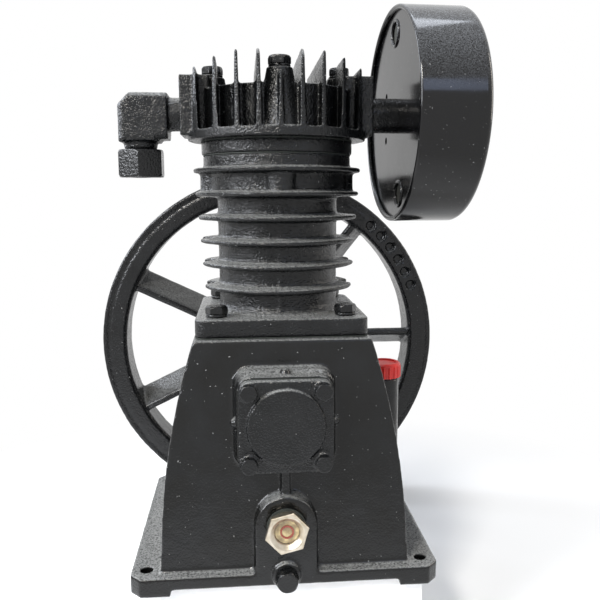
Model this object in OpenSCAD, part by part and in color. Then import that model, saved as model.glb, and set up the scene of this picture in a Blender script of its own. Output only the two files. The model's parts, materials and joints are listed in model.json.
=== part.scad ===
// Belt-driven single-cylinder air compressor pump head.
// The front (bearing cover and sight glass) faces -Y, the flywheel is at the back, the cylinder stands on +Z.
// Origin: centre of the base bolt pattern, on the underside of the feet. All sizes are in millimetres.

/* [Base] */
// Width of the base plate
base_w = 198; // [190:1:215]
// Depth of the base plate, front to back
base_d = 170; // [168:1:185]
// Height of the base plate's top face above the underside of the feet
base_top = 13; // [11:0.5:15]
// Height of the four corner feet
foot_h = 4.5; // [3:0.5:6]
// Length of a foot along the width of the plate
foot_w = 26; // [22:1:32]
// Length of a foot along the depth of the plate
foot_d = 34; // [28:1:44]
// Chamfer of the plate's corners
base_r = 7; // [4:1:9]
// Distance from a hold-down hole to the side edge
hole_edge_x = 10; // [9:0.5:12]
// Distance from a hold-down hole to the front or rear edge
hole_edge_y = 13; // [11:0.5:16]
// Diameter of the hold-down holes
base_hole_d = 7.5; // [6:0.5:9]

/* [Crankcase] */
// Height of the crankcase's top face
case_h = 160; // [158:1:168]
// Height of the crankshaft's axis
crank_z = 111.5; // [110:0.5:112]
// Width of the crankcase where it meets the base
case_w = 159; // [156:1:164]
// Strip of base left free in front of and behind the crankcase
base_lip = 7; // [5:0.5:9]
// Wall of the crankcase
case_wall = 8; // [7:0.5:9]
// Thickness of the crankcase roof that holds the cylinder bolts
roof_t = 14; // [12:0.5:15]
// Ledge of the crankcase top outside the cylinder flange
case_ledge = 2; // [1:0.5:4]

/* [Cylinder] */
// Cylinder axis, measured forward from the centre of the base
cyl_forward = 5; // [3:0.5:7]
// Bore of the cylinder
bore = 65; // [63:0.5:66]
// Outside diameter of the barrel
barrel_d = 82; // [80:0.5:84]
// Width of the square base flange
flange_w = 112; // [110:1:116]
// Thickness of the base flange
flange_t = 11.7; // [10:0.1:13]
// Height of the cylinder from its flange face to its top face
cyl_h = 115.6; // [114:0.2:120]
// Number of cooling fins
fin_n = 6; // [4:1:7]
// Radius of the lowest fin
fin_r_low = 52; // [50:0.5:53]
// Radius of the highest fin
fin_r_high = 57.5; // [56:0.5:59]
// Thickness of a fin at its rim
fin_t = 3.4; // [2.6:0.2:4]
// Width of the side notch that parts a fin into a front and a rear lobe
notch_w = 20; // [14:1:26]
// Half the spacing of the cylinder hold-down bolts
cyl_bolt_x = 42; // [41.5:0.5:44]

/* [Head] */
// Radius of the cylinder's top flange and of the valve plate
plate_r = 51; // [50:0.5:53]
// Thickness of the valve plate
plate_t = 8.6; // [7.6:0.2:10]
// Radius of the head's rim
rim_r = 60.5; // [59:0.5:63]
// Thickness of the head's rim
rim_t = 6; // [5:0.5:7]
// Radius of the head's wall inside the fins
head_r = 50; // [49:0.5:52]
// Height of the head's wall
head_h = 33; // [31:0.5:36]
// Height of the fins at the middle of the head
head_fin_h = 53; // [50:0.5:56]
// Thickness of a head fin at its foot
head_fin_t = 4.2; // [3:0.2:5]
// Thickness of a head fin at its tip
head_tip_t = 2.2; // [1.6:0.2:3]
// Spacing of the head fins
head_fin_gap = 13.4; // [12.6:0.2:14]
// Rounding of a head fin's top corners at the front and rear
head_fin_round = 14; // [8:1:20]
// Radius of the circle of head bolts
head_bolt_r = 43; // [42:0.5:43.5]
// Height of the head bolt bosses
head_boss_h = 42; // [39:0.5:44]
// Height of both ports above the head's joint face
port_h = 18; // [17:0.5:19]

/* [Crankshaft and piston] */
// Stroke of the piston
stroke = 46; // [40:1:48]
// Diameter of the crankpin
crankpin_d = 22; // [20:1:24]
// Radius of the crank webs and counterweight
web_r = 38; // [37:0.5:39]
// Thickness of a crank web
web_t = 13; // [11:0.5:14]
// Length of the crankpin between the webs
crankpin_l = 28; // [24:1:30]
// Running clearance of the shaft in the oil seal
run_clear = 0.05; // [0.02:0.01:0.09]
// Clearance of the piston in the bore, on the radius
piston_clear = 0.05; // [0.03:0.01:0.09]
// Height of the piston
piston_h = 52; // [46:1:54]
// Diameter of the wrist pin
wrist_d = 15; // [12:0.5:17]

/* [Bearings] */
// Outside diameter of the front ball bearing
front_brg_od = 47; // [44:1:48]
// Outside diameter of the rear ball bearing
rear_brg_od = 62; // [58:1:64]
// Front journal diameter
front_journal_d = 20; // [18:1:22]
// Rear journal diameter
rear_journal_d = 30; // [28:1:32]
// Width of both bearings
brg_w = 14; // [12:1:15]

/* [Front cover] */
// Width of the square bearing cover
cover_w = 58; // [57:0.5:60]
// Thickness of the cover's flange
cover_t = 6; // [5:0.5:8]
// How far the cover's seat stands in front of the crankcase foot
pad_out = 8.4; // [7:0.2:10]
// Half the spacing of the cover bolts
cover_bolt_x = 22.6; // [22:0.2:23.5]
// Diameter of the cover's raised round boss
cover_boss_d = 47.5; // [46:0.5:48]

/* [Rear bearing housing] */
// Width of the housing's flange
rear_w = 104; // [100:1:106]
// Height of the housing's flange
rear_h = 95; // [92:1:96]
// Thickness of the housing's flange
rear_t = 9; // [8:0.5:11]
// Length of the housing's nose behind its flange
nose_l = 38; // [36:1:42]
// Half the spacing of the housing bolts across
rear_bolt_x = 43.5; // [43:0.5:44]
// Half the spacing of the housing bolts up and down
rear_bolt_z = 38.5; // [38:0.5:39]

/* [Flywheel] */
// Outside diameter of the flywheel
fly_d = 314.6; // [290:1:330]
// Depth of the rim, from its outer to its inner edge
rim_depth = 22.4; // [21:0.2:26]
// Width of the rim
fly_w = 36; // [32:1:42]
// Distance from the rear edge of the base to the front of the rim
fly_gap = 77; // [72:1:90]
// Number of fan blades that carry the rim
blade_n = 7; // [5:1:9]
// Thickness of a blade
blade_t = 7.5; // [6:0.5:10]
// Pitch of the blades from the shaft's direction
blade_pitch = 26; // [15:1:32]
// Outside diameter of the hub
hub_d = 54; // [50:1:60]
// Diameter of the shaft end that carries the hub
hub_bore_d = 25; // [22:1:26]
// Width of the belt groove at its mouth
groove_w = 17; // [13:0.5:20]
// Depth of the belt groove
groove_depth = 13; // [10:0.5:14]

/* [Sight glass and drain] */
// Height of the sight glass
sight_z = 44; // [42:0.5:46]
// Size of the sight glass across its flats
sight_af = 24; // [22:0.5:26]
// Thickness of the sight glass hexagon
sight_t = 9; // [7:0.5:10]
// Half the width of the arched boss behind the sight glass
arch_r = 19.8; // [19:0.2:22]
// Height of the drain plug
drain_z = 12; // [11.5:0.5:14]
// Size of the drain plug across its flats
drain_af = 13; // [12:0.5:15]

/* [Oil filler] */
// Distance of the filler neck from the middle of the pump
filler_x = 86; // [84:0.5:88]
// Distance of the filler neck behind the centre of the base
filler_y = 40; // [34:1:46]
// Height of the filler neck's mouth
filler_z = 106; // [98:1:112]
// Outside radius of the filler neck
filler_r = 12; // [11.5:0.5:13]
// Diameter of the red filler cap
cap_d = 27; // [25:0.5:30]
// Height of the filler cap above its neck
cap_h = 11.5; // [9:0.5:14]

/* [Air filter] */
// Radius of the filter can
can_r = 72.3; // [66:0.5:78]
// Length of the filter can
can_l = 46.6; // [42:0.5:54]
// Distance from the head's suction port to the filter can
can_gap = 14.5; // [12:0.5:20]
// Lean of the filter on its stem, towards the back
can_lean = 2.9; // [0:0.1:4]
// Outside diameter of the intake stem
stem_d = 23.5; // [21:0.5:25]
// Sheet thickness of the can
sheet_t = 1.2; // [0.8:0.1:1.6]

/* [Discharge elbow] */
// Distance of the elbow's outlet from the middle of the pump
elbow_x = 92; // [90:0.5:97]
// Thickness of the elbow's body
elbow_d = 27; // [25:0.5:29]
// Diameter of the elbow's threaded neck
elbow_neck_d = 22.5; // [20:0.5:24]
// Size of the union nut across its flats
nut_af = 28.6; // [27:0.2:31]
// Height of the union nut
nut_h = 18.6; // [16:0.2:20]
// Diameter of the tube that the union nut takes
tube_d = 12; // [11:0.2:12.8]

/* [Hidden] */

round_fn = 96;
big_fn = 360;
eps = 0.01;
gasket_t = 0.6;
cut = 1;

black_cast = "#1b1c1d";
black_steel = "#101112";
bare_iron = "#6f7274";
bright = "#c9c7bd";
gasket_c = "#4d5a4a";

// Levels along Z
cyl_y = -cyl_forward;
cyl_z = case_h + gasket_t;
flange_top = cyl_z + flange_t;
cyl_top = cyl_z + cyl_h;
plate_z = cyl_top + gasket_t;
head_z = plate_z + plate_t + gasket_t;
port_z = head_z + port_h;
spigot_l = 8;
spigot_r = bore / 2 + 4.3;

// Crankcase outline: the sides are arcs that stand upright on the base and lean in towards the top
case_top_w = flange_w + 2 * case_ledge - 2.5;
flare = (case_w - case_top_w) / 2;
flare_h = case_h - base_top;
flare_r = (flare_h * flare_h + flare * flare) / (2 * flare);
case_front = -base_d / 2 + base_lip;
case_rear = base_d / 2 - base_lip;
case_top_front = cyl_y - flange_w / 2 - case_ledge - 3.5;
case_top_rear = cyl_y + flange_w / 2 + case_ledge + 3;
roof_z = case_h - roof_t;
opening_r = spigot_r + 0.2;

// Front bearing seat and cover stack, along Y
pad_y = case_front - pad_out;
pad_w = cover_w + 2;
pad_r = 9;
nub_r = 3.2;
front_seat_l = 15.4;
front_shoulder_l = 9;
cover_spigot_l = 1.4;
front_brg_y = pad_y + front_seat_l - brg_w;
cover_back = pad_y - gasket_t;
cover_front = cover_back - cover_t;

// Rear housing stack, along Y
rear_pad_y = case_rear + 6;
rear_open_r = web_r + 3;
rear_flange_y = rear_pad_y + gasket_t;
rear_flange_back = rear_flange_y + rear_t;
nose_y = rear_flange_back + nose_l;
rear_spigot_l = 5;
seal_w = 8;
seal_y = nose_y - seal_w - 1;
seal_r = 23.5;
rear_brg_y = seal_y - 6 - brg_w;
seal_shaft_r = 14;

// Crankshaft and flywheel stack, along Y
web_in = crankpin_l / 2;
web_out = web_in + web_t;
throw = stroke / 2;
fly_front = base_d / 2 + fly_gap;
fly_r = fly_d / 2;
rim_in_r = fly_r - rim_depth;
hub_front = nose_y + 6;
hub_back = fly_front + fly_w - 10;
shaft_end = hub_back - 2;
key_w = 8;
key_h = 7;
hub_washer_t = 3.5;

// Piston
piston_r = bore / 2 - piston_clear;
crown_z = cyl_top - 0.8;
wrist_z = crown_z - 25;

// Fasteners
m8_af = 13;
m8_k = 5.3;
m8_r = 4;
m8_hole = 4.5;
m6_af = 10;
m6_k = 4;
m6_r = 3;
m6_hole = 3.3;
lock_t = 2;
lock_r = 7;
lock_gap = 1.2;

// Head
fin_pairs = 4;
boss_r = 8.6;
head_top = head_z + head_h;
boss_top = head_z + head_boss_h;
crown_r = 190;
port_block_x = rim_r + 4;
port_r = stem_d / 2;
sight_y = -base_d / 2;
drain_boss_l = 3;

module hex(af, h) {
    cylinder(d = af / cos(30), h = h, $fn = 6);
}

module hex_bolt(af, k, r, l) {
    // The head's corners are turned off by a shallow cone, and the shank hangs below it
    intersection() {
        hex(af, k);
        cylinder(r1 = af / 2 + 4, r2 = af / 2 - 0.2, h = k + eps, $fn = round_fn);
    }
    translate([0, 0, -l]) cylinder(r = r, h = l + eps, $fn = 48);
}

module ring(r_out, r_in, h) {
    difference() {
        cylinder(r = r_out, h = h, $fn = round_fn);
        translate([0, 0, -cut]) cylinder(r = r_in, h = h + 2 * cut, $fn = round_fn);
    }
}

module rounded_square(w, d, r) {
    for (sx = [-1, 1], sy = [-1, 1]) translate([sx * (w / 2 - r), sy * (d / 2 - r)]) circle(r, $fn = 48);
    square([w - 2 * r, d], center = true);
    square([w, d - 2 * r], center = true);
}

module chamfered_square(w, d, c) {
    x = w / 2;
    y = d / 2;
    polygon([[-x + c, -y], [x - c, -y], [x, -y + c], [x, y - c], [x - c, y], [-x + c, y], [-x, y - c], [-x, -y + c]]);
}

module at_corners(x, y) {
    for (sx = [-1, 1], sy = [-1, 1]) translate([sx * x, sy * y, 0]) children();
}

// Turns +Z to -Y (towards the front) at height z and depth y
module facing_front(y, z) {
    translate([0, y, z]) rotate([90, 0, 0]) children();
}

// Turns +Z to +Y (towards the back), keeping X and Z of the outline upright
module facing_back(y, z) {
    translate([0, y, z]) rotate([90, 0, 0]) mirror([0, 0, 1]) children();
}

module on_cylinder_axis(z) {
    translate([0, cyl_y, z]) children();
}

// Solid between the flared sides and the leaning front and rear, drawn in by inset
module case_block(inset, z0, z1) {
    intersection() {
        translate([-case_w / 2 + inset, -base_d, z0]) cube([case_w - 2 * inset, 2 * base_d, z1 - z0]);
        for_side(1, inset);
        for_side(-1, inset);
        rotate([90, 0, 90]) linear_extrude(height = 2 * case_w, center = true) polygon([
            [case_front + inset, base_top], [case_rear - inset, base_top],
            [case_top_rear - inset, case_h], [case_top_front + inset, case_h],
            ]);
    }
}

module for_side(side, inset) {
    translate([side * (case_w / 2 - flare_r), 0, base_top]) rotate([90, 0, 0])
        cylinder(r = flare_r - inset, h = 2 * base_d, center = true, $fn = big_fn);
}

module base_plate() {
    difference() {
        linear_extrude(base_top) chamfered_square(base_w, base_d, base_r);
        translate([0, 0, foot_h / 2 - cut / 2]) {
            cube([base_w - 2 * foot_w, base_d + 2 * cut, foot_h + cut], center = true);
            cube([base_w + 2 * cut, base_d - 2 * foot_d, foot_h + cut], center = true);
        }
        at_corners(base_w / 2 - hole_edge_x, base_d / 2 - hole_edge_y)
            translate([0, 0, -cut]) cylinder(d = base_hole_d, h = base_top + 2 * cut, $fn = 48);
    }
}

module filler_neck() {
    // The neck stands on a round foot that swells out of the side wall, with a web up the wall
    translate([filler_x, filler_y, base_top + 26]) {
        cylinder(r = filler_r, h = filler_z - base_top - 26, $fn = round_fn);
        sphere(filler_r, $fn = round_fn);
    }
    translate([case_top_w / 2 - case_wall, filler_y - 5, base_top + 22])
        cube([filler_x - case_top_w / 2 + case_wall, 10, filler_z - base_top - 34]);
    translate([case_w / 2 - 20, filler_y, base_top + 26]) rotate([0, 90, 0])
        cylinder(r = filler_r - 1, h = filler_x - case_w / 2 + 20, $fn = round_fn);
}

module crankcase() {
    color(black_cast) difference() {
        union() {
            base_plate();
            case_block(0, base_top - eps, case_h);
            // Seat of the front bearing cover, in two steps of draft
            facing_front(case_top_front + case_wall, crank_z)
                linear_extrude(case_top_front + case_wall - pad_y) rounded_square(pad_w, pad_w, pad_r);
            facing_front(case_top_front + case_wall, crank_z)
                linear_extrude(case_top_front + case_wall - pad_y - 9) rounded_square(pad_w + 4, pad_w + 4, pad_r + 2);
            for (a = [0, 90, 180]) facing_front(pad_y + 6, crank_z) rotate(a)
                translate([pad_w / 2 + 1.4, 0, 0]) sphere(nub_r, $fn = 32);
            // Rib from the seat down to the arched boss
            translate([-2.85, case_front - 4, sight_z + arch_r - 3])
                cube([5.7, 20, crank_z - pad_w / 2 - sight_z - arch_r + 6]);
            // Arched boss of the sight glass and drain
            facing_front(case_front + case_wall, 0) linear_extrude(case_front + case_wall - sight_y) {
                translate([0, sight_z]) circle(arch_r, $fn = round_fn);
                translate([-arch_r, foot_h]) square([2 * arch_r, sight_z - foot_h]);
            }
            facing_front(sight_y + cut, drain_z) cylinder(r = 9, h = drain_boss_l + cut, $fn = round_fn);
            // Seat of the rear bearing housing
            facing_back(case_top_rear - case_wall, crank_z)
                linear_extrude(rear_pad_y - case_top_rear + case_wall) rounded_square(rear_w, rear_h, 12);
            filler_neck();
        }
        // Crank chamber
        case_block(case_wall, base_top, roof_z);
        on_cylinder_axis(roof_z - cut) cylinder(r = opening_r, h = roof_t + 2 * cut, $fn = round_fn);
        // Front bearing seat and its shoulder
        facing_front(pad_y + front_seat_l, crank_z)
            cylinder(d = front_brg_od, h = front_seat_l + cut, $fn = round_fn);
        facing_front(case_top_front + case_wall + 12, crank_z)
            cylinder(d = front_brg_od - 8, h = case_top_front + case_wall + 12 - pad_y, $fn = round_fn);
        for (sx = [-1, 1], sz = [-1, 1]) translate([sx * cover_bolt_x, 0, sz * cover_bolt_x])
            facing_front(pad_y + 14, crank_z) cylinder(r = m6_r, h = 14 + cut, $fn = 48);
        // Rear opening, wide enough for the crank webs
        facing_back(case_top_rear - case_wall - 12, crank_z)
            cylinder(r = rear_open_r, h = rear_pad_y - case_top_rear + case_wall + 12 + cut, $fn = round_fn);
        for (sx = [-1, 1], sz = [-1, 1]) translate([sx * rear_bolt_x, 0, sz * rear_bolt_z])
            facing_back(rear_pad_y - 16, crank_z) cylinder(r = m8_r, h = 16 + cut, $fn = 48);
        // Threaded holes for the cylinder bolts
        on_cylinder_axis(case_h - 12) at_corners(cyl_bolt_x, cyl_bolt_x)
            cylinder(r = m8_r, h = 12 + cut, $fn = 48);
        // Sight glass and drain threads
        facing_front(case_front + case_wall + 6, sight_z)
            cylinder(r = sight_af / 2 - 3, h = case_front + case_wall + 6 - sight_y + cut, $fn = round_fn);
        facing_front(case_front + case_wall + 6, drain_z + 3)
            cylinder(r = 3, h = 12, $fn = 48);
        facing_front(sight_y + 12, drain_z) cylinder(r = 4.5, h = 12 + drain_boss_l + cut, $fn = 48);
        // Oil way: down the filler neck and through the side wall
        translate([filler_x, filler_y, base_top + 26])
            cylinder(r = filler_r - 3.5, h = filler_z, $fn = round_fn);
        translate([case_w / 2 - case_wall - 6, filler_y, base_top + 28]) rotate([0, 90, 0])
            cylinder(r = 6, h = filler_x - case_w / 2 + case_wall + 6, $fn = 48);
    }
}

module cover_gasket() {
    color(gasket_c) facing_front(pad_y, crank_z) linear_extrude(gasket_t) difference() {
        rounded_square(cover_w, cover_w, pad_r - 1);
        circle(d = front_brg_od, $fn = round_fn);
        for (sx = [-1, 1], sz = [-1, 1]) translate([sx * cover_bolt_x, sz * cover_bolt_x]) circle(m6_hole, $fn = 48);
    }
}

module front_cover() {
    color(black_cast) facing_front(cover_back, crank_z) difference() {
        union() {
            linear_extrude(cover_t) rounded_square(cover_w, cover_w, pad_r - 1);
            cylinder(d1 = cover_boss_d + 3, d2 = cover_boss_d, h = cover_t + 2.5, $fn = round_fn);
            at_corners(cover_bolt_x, cover_bolt_x) cylinder(r1 = 6.4, r2 = 5.8, h = cover_t + 1, $fn = 48);
            translate([0, 0, -gasket_t - cover_spigot_l])
                cylinder(d = front_brg_od - 0.1, h = gasket_t + cover_spigot_l + eps, $fn = round_fn);
        }
        // Hollow behind the boss for the end of the shaft
        translate([0, 0, -gasket_t - cover_spigot_l - cut])
            cylinder(d = front_brg_od - 9, h = gasket_t + cover_spigot_l + cut + cover_t - 2.5, $fn = round_fn);
        at_corners(cover_bolt_x, cover_bolt_x)
            translate([0, 0, -cut]) cylinder(r = m6_hole, h = cover_t + 4, $fn = 48);
    }
}

module cover_bolts() {
    color(black_steel) facing_front(cover_front - 1, crank_z) at_corners(cover_bolt_x, cover_bolt_x)
        hex_bolt(m6_af, m6_k, m6_r, cover_t + 1 + gasket_t + 12);
}

module rear_gasket() {
    color(gasket_c) facing_back(rear_pad_y, crank_z) linear_extrude(gasket_t) difference() {
        rounded_square(rear_w, rear_h, 12);
        circle(rear_open_r, $fn = round_fn);
        for (sx = [-1, 1], sz = [-1, 1]) translate([sx * rear_bolt_x, sz * rear_bolt_z]) circle(m8_hole, $fn = 48);
    }
}

module rear_bearing_housing() {
    nose_r = rear_brg_od / 2 + 7;
    color(black_cast) facing_back(rear_flange_y, crank_z) difference() {
        union() {
            linear_extrude(rear_t) rounded_square(rear_w, rear_h, 12);
            translate([0, 0, -gasket_t - rear_spigot_l])
                cylinder(r = rear_open_r - 0.1, h = gasket_t + rear_spigot_l + eps, $fn = round_fn);
            translate([0, 0, rear_t - eps])
                cylinder(r1 = nose_r + 2, r2 = nose_r - 1, h = nose_l - 14, $fn = round_fn);
            translate([0, 0, rear_t + nose_l - 14 - 2 * eps])
                cylinder(r1 = nose_r - 1, r2 = seal_r + 6, h = 14 + 2 * eps, $fn = round_fn);
            // Stiffening ribs between the flange and the nose
            for (a = [0 : 45 : 315]) rotate(a) rotate([90, 0, 0]) linear_extrude(6, center = true)
                polygon([[0, 0], [rear_h / 2 - 1, 0], [rear_h / 2 - 1, rear_t], [nose_r - 1, rear_t + nose_l - 15], [0, rear_t + nose_l - 15]]);
        }
        // Room for the crank web, bearing seat, way through and seal seat
        translate([0, 0, -gasket_t - rear_spigot_l - cut])
            cylinder(r = rear_open_r - 4, h = rear_brg_y - rear_flange_y + gasket_t + rear_spigot_l + cut - 2, $fn = round_fn);
        translate([0, 0, -cut]) cylinder(d = rear_brg_od, h = rear_brg_y + brg_w - rear_flange_y + cut, $fn = round_fn);
        cylinder(r = rear_brg_od / 2 - 7, h = seal_y - rear_flange_y + cut, $fn = round_fn);
        translate([0, 0, seal_y - rear_flange_y]) cylinder(r = seal_r, h = nose_y - seal_y + cut, $fn = round_fn);
        for (sx = [-1, 1], sz = [-1, 1]) translate([sx * rear_bolt_x, sz * rear_bolt_z, -cut])
            cylinder(r = m8_hole, h = rear_t + 2 * cut, $fn = 48);
        for (sx = [-1, 1], sz = [-1, 1]) translate([sx * rear_bolt_x, sz * rear_bolt_z, rear_t])
            cylinder(r = 8.5, h = nose_l, $fn = 48);
    }
}

module rear_housing_bolts() {
    color(black_steel) facing_back(rear_flange_back, crank_z) at_corners(rear_bolt_x, rear_bolt_z)
        hex_bolt(m8_af, m8_k, m8_r, rear_t + gasket_t + 13);
}

module oil_seal() {
    color("#2a2a2c") facing_back(seal_y, crank_z) ring(seal_r, seal_shaft_r + run_clear, seal_w);
}

// A bearing ring with its ball groove; pitch and ball radii follow from the two diameters
module race(r_out, r_in, groove_r, ball_r) {
    difference() {
        ring(r_out, r_in, brg_w);
        translate([0, 0, brg_w / 2]) rotate_extrude($fn = round_fn)
            translate([groove_r, 0]) circle(ball_r + 0.15, $fn = 32);
    }
}

function pitch_r(od, id) = (od + id) / 4;
function ball_size(od, id) = (od - id) / 6.4;
function shoulder_r(od, id) = ball_size(od, id) * 0.62;

module outer_race(od, id) {
    race(od / 2, pitch_r(od, id) + shoulder_r(od, id), pitch_r(od, id), ball_size(od, id));
}

module inner_race(od, id) {
    race(pitch_r(od, id) - shoulder_r(od, id), id / 2, pitch_r(od, id), ball_size(od, id));
}

module balls(od, id, n) {
    for (i = [0 : n - 1]) rotate(360 * i / n) translate([pitch_r(od, id), 0, brg_w / 2])
        sphere(ball_size(od, id), $fn = 32);
}

module front_bearing_outer() {
    color(bright) facing_back(front_brg_y, crank_z) outer_race(front_brg_od, front_journal_d);
}

module front_bearing_inner() {
    color(bright) facing_back(front_brg_y, crank_z) inner_race(front_brg_od, front_journal_d);
}

module front_balls() {
    color(bright) facing_back(front_brg_y, crank_z) balls(front_brg_od, front_journal_d, 8);
}

module rear_bearing_outer() {
    color(bright) facing_back(rear_brg_y, crank_z) outer_race(rear_brg_od, rear_journal_d);
}

module rear_bearing_inner() {
    color(bright) facing_back(rear_brg_y, crank_z) inner_race(rear_brg_od, rear_journal_d);
}

module rear_balls() {
    color(bright) facing_back(rear_brg_y, crank_z) balls(rear_brg_od, rear_journal_d, 9);
}

module base_gasket() {
    color(gasket_c) on_cylinder_axis(case_h) linear_extrude(gasket_t) difference() {
        rounded_square(flange_w, flange_w, 8);
        circle(spigot_r + 0.2, $fn = round_fn);
        for (sx = [-1, 1], sy = [-1, 1]) translate([sx * cyl_bolt_x, sy * cyl_bolt_x]) circle(m8_hole, $fn = 48);
    }
}

// One cooling fin: a disc that thins towards a rounded rim, parted at the sides by notches
module fin(r, notched) {
    difference() {
        rotate_extrude($fn = round_fn) {
            polygon([[barrel_d / 2 - 1, -fin_t / 2 - 0.8], [r - fin_t / 2, -fin_t / 2],
                [r - fin_t / 2, fin_t / 2], [barrel_d / 2 - 1, fin_t / 2 + 0.8]]);
            translate([r - fin_t / 2, 0]) circle(fin_t / 2, $fn = 24);
        }
        if (notched) for (s = [-1, 1]) translate([s * (barrel_d / 2 + 3 + notch_w / 2), 0, -fin_t]) {
            cylinder(d = notch_w, h = 2 * fin_t, $fn = 48);
            translate([s > 0 ? 0 : -20, -notch_w / 2, 0]) cube([20, notch_w, 2 * fin_t]);
        }
    }
}

first_fin = flange_t + 16;
last_fin = cyl_h - 9.7;
fin_gap = (last_fin - first_fin) / (fin_n - 1);

module head_bolt_spots() {
    for (a = [0 : 90 : 270]) rotate(a) translate([head_bolt_r, 0, 0]) children();
}

module cylinder_block() {
    color(black_cast) on_cylinder_axis(cyl_z) difference() {
        union() {
            linear_extrude(flange_t) rounded_square(flange_w, flange_w, 8);
            translate([0, 0, -gasket_t - spigot_l]) cylinder(r = spigot_r, h = spigot_l + gasket_t + eps, $fn = round_fn);
            cylinder(d1 = barrel_d, d2 = barrel_d + 1, h = cyl_h, $fn = round_fn);
            // Fillet between the barrel and its flange
            translate([0, 0, flange_t - eps]) cylinder(r1 = barrel_d / 2 + 3, r2 = barrel_d / 2, h = 4, $fn = round_fn);
            for (i = [0 : fin_n - 1]) translate([0, 0, first_fin + fin_gap * i])
                fin(fin_r_low + (fin_r_high - fin_r_low) * i / (fin_n - 1), i < fin_n - 2);
            // Thick top section with the head bolt bosses, and the top flange
            translate([0, 0, last_fin - fin_gap]) cylinder(r = barrel_d / 2 + 6, h = fin_gap, $fn = round_fn);
            translate([0, 0, last_fin - fin_gap]) head_bolt_spots() cylinder(r = 10, h = fin_gap, $fn = 48);
            translate([0, 0, last_fin]) cylinder(r = plate_r - 0.6, h = cyl_h - last_fin, $fn = round_fn);
            // Casting seam down the front of the barrel
            translate([-1.2, -barrel_d / 2 - 0.9, flange_t]) cube([2.4, 3, last_fin - fin_gap - flange_t]);
        }
        translate([0, 0, -gasket_t - spigot_l - cut])
            cylinder(d = bore, h = cyl_h + gasket_t + spigot_l + 2 * cut, $fn = round_fn);
        at_corners(cyl_bolt_x, cyl_bolt_x) translate([0, 0, -cut]) cylinder(r = m8_hole, h = flange_t + 2 * cut, $fn = 48);
        translate([0, 0, cyl_h - 22]) head_bolt_spots() cylinder(r = m8_r, h = 22 + cut, $fn = 48);
    }
}

// Spring washer, split by a slanted cut
module lock_washer() {
    difference() {
        ring(lock_r, m8_hole - 0.2, lock_t);
        translate([lock_r - 1, 0, lock_t / 2]) rotate([20, 0, 0]) cube([lock_r, lock_gap, 3 * lock_t], center = true);
    }
}

module cylinder_washers() {
    color(black_steel) on_cylinder_axis(flange_top) at_corners(cyl_bolt_x, cyl_bolt_x) lock_washer();
}

module cylinder_bolts() {
    color(black_steel) on_cylinder_axis(flange_top + lock_t) at_corners(cyl_bolt_x, cyl_bolt_x)
        hex_bolt(m8_af, m8_k, m8_r, lock_t + flange_t + gasket_t + 10);
}

module joint_gasket(r) {
    difference() {
        ring(r, bore / 2 + 1.5, gasket_t);
        translate([0, 0, -cut]) head_bolt_spots() cylinder(r = m8_hole, h = 3 * cut, $fn = 48);
    }
}

module plate_gasket() {
    color(gasket_c) on_cylinder_axis(cyl_top) joint_gasket(plate_r - 0.6);
}

// Ports in the valve plate: suction on the right, discharge on the left
port_hole_r = 3;
port_hole_x = 15;
port_hole_y = 8;

module valve_plate() {
    color(black_cast) on_cylinder_axis(plate_z) difference() {
        cylinder(r = plate_r + 0.5, h = plate_t, $fn = round_fn);
        translate([0, 0, -cut]) head_bolt_spots() cylinder(r = m8_hole, h = plate_t + 2 * cut, $fn = 48);
        for (sx = [-1, 1], sy = [-1, 0, 1]) translate([sx * port_hole_x, sy * port_hole_y, -cut])
            cylinder(r = port_hole_r, h = plate_t + 2 * cut, $fn = 32);
        // Shallow pocket in which the suction reed moves
        translate([port_hole_x, 0, -eps]) linear_extrude(0.6 + eps) rounded_square(14, 42, 3);
        for (sy = [-1, 1]) translate([-port_hole_x, sy * 18, 2]) cylinder(r = 1.6, h = plate_t, $fn = 32);
    }
}

module suction_reed() {
    color(bright) on_cylinder_axis(plate_z + 0.2) translate([port_hole_x, 0, 0])
        linear_extrude(0.4) rounded_square(13, 41, 2.5);
}

module discharge_reed() {
    color(bright) on_cylinder_axis(plate_z + plate_t) translate([-port_hole_x, 0, 0]) linear_extrude(0.4) difference() {
        rounded_square(12, 44, 2.5);
        for (sy = [-1, 1]) translate([0, sy * 18]) circle(1.7, $fn = 32);
    }
}

module reed_screws() {
    color(bright) on_cylinder_axis(plate_z + plate_t + 0.4) for (sy = [-1, 1])
        translate([-port_hole_x, sy * 18, 0]) {
            cylinder(r = 3, h = 2, $fn = 32);
            translate([0, 0, -5]) cylinder(r = 1.6, h = 5 + eps, $fn = 32);
        }
}

module head_gasket() {
    color(gasket_c) on_cylinder_axis(plate_z + plate_t) {
        joint_gasket(plate_r + 0.5);
        translate([-2.5, -bore / 2 - 2, 0]) cube([5, bore + 4, gasket_t]);
    }
}

// Section of a head fin, thicker at its foot and rounded at its tip
module head_fin_section(h) {
    tip = head_tip_t / 2;
    polygon([[-head_fin_t / 2, 0], [head_fin_t / 2, 0], [tip, h - tip], [-tip, h - tip]]);
    translate([0, h - tip]) circle(tip, $fn = 24);
}

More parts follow.
